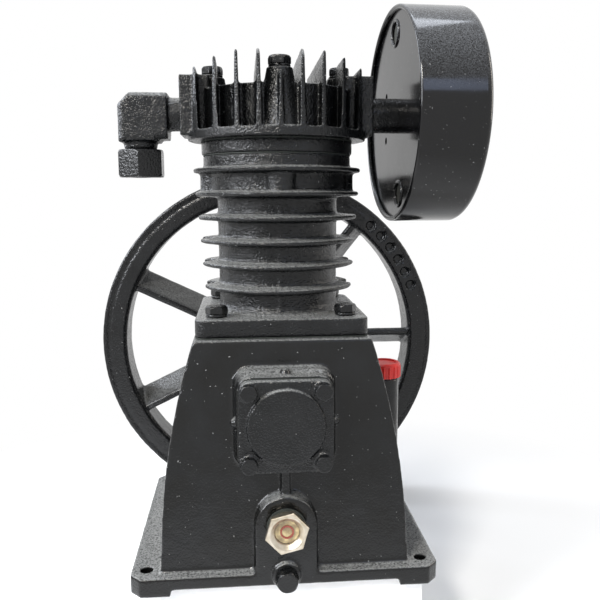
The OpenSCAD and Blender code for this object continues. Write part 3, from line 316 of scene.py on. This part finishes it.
# Bare metals: two colours, roughness, spacing of the marks, how their pattern is drawn out
plated = bare_metal("bright_zinc_plating", "d0c8ba", "b3a894", 0.28, 1.2, (1, 1, 1))
ground_steel = bare_metal("ground_bearing_steel", "b9bbbd", "a6a8aa", 0.14, 0.8, (1, 0.1, 1))
turned_iron = bare_metal("turned_cast_iron", "8b8e90", "77797b", 0.3, 0.9, (1, 0.15, 1))
turned_alloy = bare_metal("turned_aluminium", "c4c6c8", "b3b5b7", 0.28, 0.8, (0.1, 0.1, 1))
turned_brass = bare_metal("turned_brass", "c9a55a", "b8934a", 0.22, 0.8, (0.1, 0.1, 1))

# Soft pieces and the printed ring: two colours, grain, roughness, depth of the grain
gasket_sheet = soft_stuff("pressed_fibre_gasket", "202321", "2f332f", 0.8, 0.75, 0.05)
black_rubber = soft_stuff("moulded_black_rubber", "141414", "1c1c1c", 0.9, 0.6, 0.03)
# The felt's two colours are darker than the felt's own: painted shade inside the can, seen through
# the vents
felt_with_painted_shade = soft_stuff("felt_in_painted_shade", "2b2c2a", "3c3d3a", 0.9, 0.95, 0.3)
red_plastic = moulded_red()
ring_red = soft_stuff("faded_red_level_mark", "8f4439", "7c3a31", 0.9, 0.5, 0.02)
lens = lens_glass()

FINISHES = {
    base_enamel: ["crankcase"],
    cast_enamel: ["front_cover", "rear_bearing_housing", "cylinder_block", "valve_plate",
                  "cylinder_head", "discharge_elbow"],
    wheel_enamel: ["flywheel"],
    sheet_enamel: ["filter_can", "filter_plate"],
    bolt_enamel: ["cover_bolts", "rear_housing_bolts", "cylinder_washers", "cylinder_bolts",
                  "head_washers", "head_bolts", "union_nut", "drain_plug", "drain_washer",
                  "flywheel_washer", "flywheel_bolt", "intake_stem"],
    plated: ["sight_body"],
    ground_steel: ["front_bearing_outer", "rear_bearing_outer", "front_bearing_inner",
                   "rear_bearing_inner", "front_balls", "rear_balls", "wrist_pin",
                   "pin_circlips", "compression_rings", "oil_ring", "suction_reed",
                   "discharge_reed", "reed_screws"],
    turned_iron: ["crankshaft", "shaft_key"],
    turned_alloy: ["piston"],
    turned_brass: ["tube_olive"],
    gasket_sheet: ["cover_gasket", "rear_gasket", "base_gasket", "plate_gasket", "head_gasket",
                   "sight_washer"],
    black_rubber: ["oil_seal", "cap_seal"],
    felt_with_painted_shade: ["filter_element"],
    red_plastic: ["filler_cap"],
    ring_red: ["sight_ring"],
    lens: ["sight_lens"],
}
for finish, names in FINISHES.items():
    for name in names:
        NODES[name].data.materials.clear()
        NODES[name].data.materials.append(finish)


# Cast skins: each casting's solid again, with the soft edges and uneven faces of a sand mould.
# Voxels, swells and the weld are in millimetres

WELD = 0.001
SWELL_SPACING = 9
# Cloud level that leaves a face in place. It is near the highest, so the faces mostly sink
SWELL_LEVEL = 0.95


def settle(piece):
    """Applies the piece's modifiers, and leaves it with plain faces, shaded smooth."""
    view = bpy.context.evaluated_depsgraph_get()
    mesh = bpy.data.meshes.new_from_object(piece.evaluated_get(view))
    piece.modifiers.clear()
    piece.data = mesh
    mesh.shade_smooth()


def cast_skin(name, voxel, passes, swell):
    """Replaces a CAD node by a skin with edges rounded by voxel and faces uneven by swell."""
    source = NODES[name]
    mesh = source.data.copy()
    work = bmesh.new()
    work.from_mesh(mesh)
    bmesh.ops.remove_doubles(work, verts=work.verts, dist=WELD * MM)
    work.to_mesh(mesh)
    work.free()
    piece = bpy.data.objects.new(name + "_casting", mesh)
    SCENE.collection.objects.link(piece)
    remesh = piece.modifiers.new("voxels", "REMESH")
    remesh.mode = "VOXEL"
    remesh.voxel_size = voxel * MM
    smooth = piece.modifiers.new("rounding", "SMOOTH")
    smooth.factor = 0.5
    smooth.iterations = passes
    clouds = bpy.data.textures.new(name + "_swell", "CLOUDS")
    clouds.noise_scale = SWELL_SPACING * MM
    uneven = piece.modifiers.new("uneven", "DISPLACE")
    uneven.texture = clouds
    uneven.texture_coords = "LOCAL"
    uneven.mid_level = SWELL_LEVEL
    uneven.strength = swell * MM
    settle(piece)
    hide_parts(name)
    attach(piece, source["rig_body"])


# Voxel and smoothing passes of each casting. The elbow's edges are the roundest
CASTINGS = {"crankcase": (1.15, 5), "front_cover": (0.7, 5), "rear_bearing_housing": (1.0, 5),
            "cylinder_block": (0.85, 5), "cylinder_head": (0.8, 5), "discharge_elbow": (0.65, 16),
            "valve_plate": (0.9, 5), "flywheel": (1.1, 5)}
CAST_SWELL = 0.35
for name, (voxel, passes) in CASTINGS.items():
    cast_skin(name, voxel, passes, CAST_SWELL)

# Thick paint rounds the bolts, nuts and fittings less
PAINTED_STEEL = ("cover_bolts", "rear_housing_bolts", "cylinder_bolts", "cylinder_washers",
                 "head_bolts", "head_washers", "union_nut", "drain_plug", "flywheel_bolt",
                 "intake_stem")
STEEL_VOXEL = 0.42
STEEL_PASSES = 4
STEEL_SWELL = 0.15
for name in PAINTED_STEEL:
    cast_skin(name, STEEL_VOXEL, STEEL_PASSES, STEEL_SWELL)


# Small forms that the solids leave out. Their sizes are in millimetres

ROUND_POINTS = 72
BEAD_LOOPS = 12


def turned(piece_name, owner, finish, loops, place):
    """A closed skin through loops of points, set in place by a matrix. It belongs to a CAD node."""
    work = bmesh.new()
    rows = [[work.verts.new(place @ Vector(point)) for point in loop] for loop in loops]
    rows.append(rows[0])
    for low, high in zip(rows, rows[1:]):
        for i in range(len(low)):
            j = (i + 1) % len(low)
            work.faces.new((low[i], low[j], high[j], high[i]))
    bmesh.ops.recalc_face_normals(work, faces=work.faces)
    mesh = bpy.data.meshes.new(piece_name)
    work.to_mesh(mesh)
    work.free()
    mesh.materials.append(finish)
    piece = bpy.data.objects.new(piece_name, mesh)
    SCENE.collection.objects.link(piece)
    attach(piece, NODES[owner]["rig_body"])
    return piece


def loop_of(reach, turn, height):
    """Points round the local Z axis, in metres. reach gives the radius at an angle."""
    loop = []
    for i in range(ROUND_POINTS):
        angle = 2 * math.pi * i / ROUND_POINTS
        radius = reach(angle)
        whole = angle + math.radians(turn)
        loop.append((radius * math.cos(whole) * MM, radius * math.sin(whole) * MM, height * MM))
    return loop


def circle(radius, height):
    """A round loop of points."""
    return loop_of(lambda angle: radius, 0, height)


def hexagon(flats, turn, height):
    """A loop of points on a hexagon that far across its flats, turned by that many degrees."""
    sixth = math.pi / 3
    return loop_of(lambda angle: flats / 2 / math.cos(angle % sixth - sixth / 2), turn, height)


def ring_bead(piece_name, owner, finish, radius, thick, place):
    """A round bead of that thickness, bent to a ring."""
    loops = []
    for k in range(BEAD_LOOPS):
        angle = 2 * math.pi * k / BEAD_LOOPS
        loops.append(circle(radius + thick / 2 * math.cos(angle), thick / 2 * math.sin(angle)))
    turned(piece_name, owner, finish, loops, place).data.shade_smooth()


# Sight glass: a thin hexagon with a dished mouth, on a round collar. Depths start at its face
SIGHT_FLATS = 24.3
SIGHT_TURN = 13.8
SIGHT_THICK = 4.6
# The hexagon is narrower across its flats at both faces, over a short depth
CORNER_LESS = 0.7
CORNER_DEPTHS = (0.08, 0.5, 0.4)
COLLAR_RADII = (11.2, 10.8)
COLLAR_DEPTHS = (0.2, 9)
SHANK_RADIUS = 8.9
SHANK_DEPTH = 9.5
MOUTH_RADII = (10.9, 10.3, 8.2, 7.7)
MOUTH_DEPTHS = (0, 0.25, 2.2, 3)
MOUTH_BACK_RADIUS = 7.6

sight_low, sight_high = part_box("sight_body")
sight_mid = (sight_low + sight_high) / 2
sight_depth = (sight_high.y - sight_low.y) / MM
sight_face = Matrix.Translation((sight_mid.x, sight_low.y, sight_mid.z))
narrow = SIGHT_FLATS - CORNER_LESS
sight_loops = [
    circle(SHANK_RADIUS, -sight_depth),
    circle(SHANK_RADIUS, -SHANK_DEPTH),
    circle(COLLAR_RADII[1], -COLLAR_DEPTHS[1]),
    circle(COLLAR_RADII[0], -SIGHT_THICK - COLLAR_DEPTHS[0]),
    hexagon(narrow, SIGHT_TURN, -SIGHT_THICK),
    hexagon(SIGHT_FLATS, SIGHT_TURN, -SIGHT_THICK + CORNER_DEPTHS[2]),
    hexagon(SIGHT_FLATS, SIGHT_TURN, -CORNER_DEPTHS[1]),
    hexagon(narrow, SIGHT_TURN, -CORNER_DEPTHS[0]),
]
sight_loops += [circle(radius, -depth) for radius, depth in zip(MOUTH_RADII, MOUTH_DEPTHS)]
sight_loops.append(circle(MOUTH_BACK_RADIUS, -sight_depth))
hexagon_body = turned("sight_hexagon", "sight_body", plated, sight_loops,
                      sight_face @ Matrix.Rotation(math.pi / 2, 4, "X"))
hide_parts("sight_body")

# Pressed lips round the two vents of the filter's end plate, and the can's rolled-over bead.
# The filter's axis starts at the head's port and leans a little
PORT_FACE = (64.5, -5, 304)
CAN_LEAN = 2.9
CAN_RADIUS = 72.3
CAN_GAP = 14.5
PLATE_DEPTH = 3
VENT_RADIUS = 8.2
VENT_REACH = 0.76 * CAN_RADIUS
VENT_TURNS = (180, -14)
LIP_OUT = 0.2
LIP_THICK = 2.2
BEAD_INSET = 1.7
BEAD_THICK = 3.3

filter_place = (Matrix.Translation([v * MM for v in PORT_FACE])
                @ Matrix.Rotation(math.radians(CAN_LEAN), 4, "Z")
                @ Matrix.Rotation(math.pi / 2, 4, "Y"))
for number, turn in enumerate(VENT_TURNS):
    side = math.radians(turn)
    spot = Vector((VENT_REACH * math.cos(side), VENT_REACH * math.sin(side), CAN_GAP + PLATE_DEPTH))
    ring_bead("vent_lip_%d" % (number + 1), "filter_plate", sheet_enamel, VENT_RADIUS + LIP_OUT,
              LIP_THICK, filter_place @ Matrix.Translation(spot * MM))
ring_bead("can_bead", "filter_can", sheet_enamel, CAN_RADIUS - BEAD_INSET, BEAD_THICK,
          filter_place @ Matrix.Translation((0, 0, (CAN_GAP + BEAD_INSET) * MM)))

# Raised ring on top of the filler cap
CAP_RING_RADIUS = 10.3
CAP_RING_THICK = 1.3
cap_low, cap_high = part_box("filler_cap")
cap_mid = (cap_low + cap_high) / 2
cap_top = (cap_mid.x, cap_mid.y, cap_high.z - CAP_RING_THICK / 2 * MM)
ring_bead("cap_top_ring", "filler_cap", red_plastic, CAP_RING_RADIUS, CAP_RING_THICK,
          Matrix.Translation(cap_top))


# Stage: a pale floor under the flywheel, and a pedestal under the feet. Sizes in metres

FADE_FROM = 0.2
FADE_TO = 0.45
FLOOR_HALF = 6
FLOOR_THICK = 0.02
PEDESTAL_LOW = (-0.09, -0.076)
PEDESTAL_HIGH = (0.09, 0.08)


def stage_paint(name):
    """Matt white paint that keeps the pump's shadow, and turns as white as the background."""
    matt = {"Base Color": linear("f6f6f5"), "Roughness": 0.9, "Specular IOR Level": 0.2}
    material = finish_material(name, matt)
    tree = material.node_tree
    place = add(tree, "TexCoord").outputs["Object"]
    away = add(tree, "VectorMath", {0: place}, operation="LENGTH").outputs["Value"]
    share = times(tree, seen_directly(tree), ramp(tree, away, FADE_FROM, FADE_TO))
    white = add(tree, "Emission", None, {"Color": (1, 1, 1, 1), "Strength": 1.0})
    paint = tree.nodes["Principled BSDF"].outputs[0]
    both = add(tree, "MixShader", {0: share, 1: paint, 2: white.outputs[0]})
    tree.links.new(both.outputs[0], tree.nodes["Material Output"].inputs["Surface"])
    return material


pale = stage_paint("matt_white_paint")


def stage_box(name, low, high):
    """A pale block between two corners."""
    work = bmesh.new()
    bmesh.ops.create_cube(work, size=1)
    size = Vector(high) - Vector(low)
    middle = (Vector(high) + Vector(low)) / 2
    fit = Matrix.Translation(middle) @ Matrix.Diagonal((*size, 1))
    bmesh.ops.transform(work, matrix=fit, verts=work.verts)
    mesh = bpy.data.meshes.new(name)
    work.to_mesh(mesh)
    work.free()
    mesh.materials.append(pale)
    block = bpy.data.objects.new(name, mesh)
    SCENE.collection.objects.link(block)


floor_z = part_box("flywheel")[0].z - 2 * MM
stage_box("floor", (-FLOOR_HALF, -FLOOR_HALF, floor_z - FLOOR_THICK),
          (FLOOR_HALF, FLOOR_HALF, floor_z))
stage_box("pedestal", (*PEDESTAL_LOW, floor_z), (*PEDESTAL_HIGH, 0))


# Camera at the photograph's place, in metres and radians

CAMERA_PLACE = (-0.02427, -0.4985, 0.25047)
CAMERA_YAW = 0.08668
CAMERA_PITCH = 0.1502
CAMERA_ROLL = -0.0033
FOCAL_PIXELS = 701.65
FRAME_PIXELS = 600
MIDDLE_PIXEL = (304.2, 300.56)

camera = bpy.data.cameras.new("camera")
camera.sensor_width = 36
camera.lens = FOCAL_PIXELS / FRAME_PIXELS * camera.sensor_width
camera.shift_x = (FRAME_PIXELS / 2 - MIDDLE_PIXEL[0]) / FRAME_PIXELS
camera.shift_y = (MIDDLE_PIXEL[1] - FRAME_PIXELS / 2) / FRAME_PIXELS
camera.clip_start = 0.02
camera.clip_end = 30
viewer = bpy.data.objects.new("camera", camera)
aim = (Matrix.Rotation(-CAMERA_YAW, 4, "Z") @ Matrix.Rotation(math.pi / 2 - CAMERA_PITCH, 4, "X")
       @ Matrix.Rotation(CAMERA_ROLL, 4, "Z"))
viewer.matrix_world = Matrix.Translation(CAMERA_PLACE) @ aim
SCENE.collection.objects.link(viewer)
SCENE.camera = viewer


# Light: a soft sky, a small sun-like lamp and five window or sky panels

def lamp(name, place, target, size, watts, code):
    """A rectangular area lamp that looks at target. Places and sizes are in metres."""
    light = bpy.data.lights.new(name, "AREA")
    light.shape = "RECTANGLE"
    light.size, light.size_y = size
    light.energy = watts
    light.color = linear(code)[:3]
    holder = bpy.data.objects.new(name, light)
    holder.location = place
    holder.rotation_euler = (Vector(target) - Vector(place)).to_track_quat("-Z", "Y").to_euler()
    SCENE.collection.objects.link(holder)


lamp("sun_front_left", (-0.59, -1.02, 1.17), (0, 0, 0.25), (0.26, 0.34), 17, "fffaf2")
lamp("window_left", (-1.25, -0.62, 0.85), (0, 0, 0.22), (0.55, 0.8), 30, "f6f9ff")
lamp("window_behind_left", (-1.15, 0.75, 0.8), (0, 0, 0.17), (0.3, 0.9), 11, "eef4ff")
lamp("window_front_right", (0.5, -1.35, 0.95), (0.1, 0, 0.25), (0.6, 0.3), 1.6, "c4d6ff")
lamp("window_right", (1.45, 0.15, 0.7), (0, 0, 0.2), (0.14, 0.9), 5, "fff6ea")
lamp("sky_panel", (0.1, 0.3, 1.7), (0, 0, 0.2), (0.9, 0.45), 8, "eef4ff")

SKY_STRENGTH = 0.45
world = bpy.data.worlds.new("studio")
SCENE.world = world
world.use_nodes = True
sky_tree = world.node_tree
sky_tree.nodes.clear()
sky = add(sky_tree, "Background", None, {"Color": linear("eef3fa"), "Strength": SKY_STRENGTH})
backdrop = add(sky_tree, "Background", None, {"Color": (1, 1, 1, 1), "Strength": 1.0})
shown = {0: seen_directly(sky_tree), 1: sky.outputs[0], 2: backdrop.outputs[0]}
both = add(sky_tree, "MixShader", shown)
add(sky_tree, "OutputWorld", {"Surface": both.outputs[0]})

SCENE.view_settings.view_transform = "Standard"
